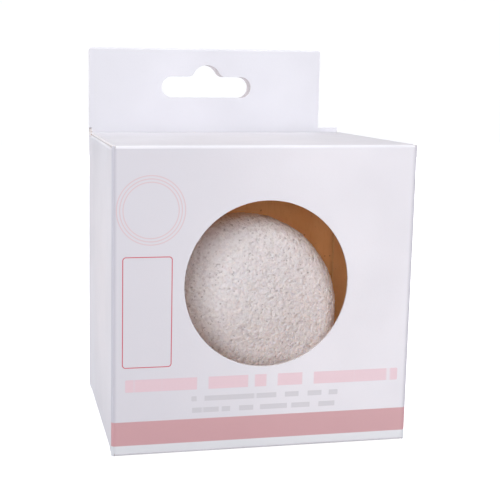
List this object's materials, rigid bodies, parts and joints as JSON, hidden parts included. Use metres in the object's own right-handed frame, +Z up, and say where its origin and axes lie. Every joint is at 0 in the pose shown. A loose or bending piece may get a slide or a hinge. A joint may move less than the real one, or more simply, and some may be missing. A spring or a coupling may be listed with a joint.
{
  "type": "boxed konjac sponge",
  "caption": "Dry half-ball konjac face sponge standing in a tuck-end hanging carton with a round front window, a header with a hang slot, and a lid, flaps and bottom that fold open.",
  "frame": {"origin": "middle of the carton's footprint, on the surface it stands on", "axes": "+Z up, -Y out of the front panel with the window, +X to the right seen from the front"},
  "size_m": [0.088, 0.064, 0.116],
  "materials": {
    "board": "satin",
    "sponge": "matte"
  },
  "bodies": {
    "sleeve": {"front_panel": "board", "left_side_panel": "board", "right_side_panel": "board", "back_panel": "board", "hanger_panel": "board", "header_front_ply": "board"},
    "lid": {"lid_panel": "board"},
    "lid_tuck": {"lid_tuck_flap": "board"},
    "top_left_dust": {"top_left_dust_flap": "board"},
    "top_right_dust": {"top_right_dust_flap": "board"},
    "bottom": {"bottom_panel": "board"},
    "bottom_tuck": {"bottom_tuck_flap": "board"},
    "bottom_left_dust": {"bottom_left_dust_flap": "board"},
    "bottom_right_dust": {"bottom_right_dust_flap": "board"},
    "sponge": {"konjac_sponge": "sponge"}
  },
  "joints": [
    {"name": "lid_hinge", "type": "hinge", "parent": "sleeve", "child": "lid", "pos_m": [0, -0.0317, 0.0877], "axis": [1, 0, 0], "range_deg": [0, 180]},
    {"name": "lid_tuck_hinge", "type": "hinge", "parent": "lid", "child": "lid_tuck", "pos_m": [0, 0.0302, 0.0877], "axis": [1, 0, 0], "range_deg": [0, 36.5]},
    {"name": "top_left_dust_hinge", "type": "hinge", "parent": "sleeve", "child": "top_left_dust", "pos_m": [-0.0437, 0, 0.087], "axis": [0, -1, 0], "range_deg": [0, 101]},
    {"name": "top_right_dust_hinge", "type": "hinge", "parent": "sleeve", "child": "top_right_dust", "pos_m": [0.0437, 0, 0.087], "axis": [0, 1, 0], "range_deg": [0, 101]},
    {"name": "sponge_lift", "type": "slide", "parent": "sleeve", "child": "sponge", "axis": [0, 0, 1], "range_m": [0, 0.094]},
    {"name": "bottom_hinge", "type": "hinge", "parent": "sleeve", "child": "bottom", "pos_m": [0, -0.0317, 0.0003], "axis": [-1, 0, 0], "range_deg": [0, 110]},
    {"name": "bottom_tuck_hinge", "type": "hinge", "parent": "bottom", "child": "bottom_tuck", "pos_m": [0, 0.0302, 0.0003], "axis": [-1, 0, 0], "range_deg": [0, 22.5]},
    {"name": "bottom_left_dust_hinge", "type": "hinge", "parent": "sleeve", "child": "bottom_left_dust", "pos_m": [-0.0437, 0, 0.001], "axis": [0, 1, 0], "range_deg": [0, 62]},
    {"name": "bottom_right_dust_hinge", "type": "hinge", "parent": "sleeve", "child": "bottom_right_dust", "pos_m": [0.0437, 0, 0.001], "axis": [0, -1, 0], "range_deg": [0, 62]}
  ],
  "couplings": [
    {"joint": "lid_tuck_hinge", "follows": "lid_hinge", "ratio": 0.2},
    {"joint": "top_left_dust_hinge", "follows": "lid_hinge", "ratio": 0.56},
    {"joint": "top_right_dust_hinge", "follows": "lid_hinge", "ratio": 0.56},
    {"joint": "sponge_lift", "follows": "lid_hinge", "m_per_rad": 0.029921},
    {"joint": "bottom_tuck_hinge", "follows": "bottom_hinge", "ratio": 0.2},
    {"joint": "bottom_left_dust_hinge", "follows": "bottom_hinge", "ratio": 0.56},
    {"joint": "bottom_right_dust_hinge", "follows": "bottom_hinge", "ratio": 0.56}
  ]
}
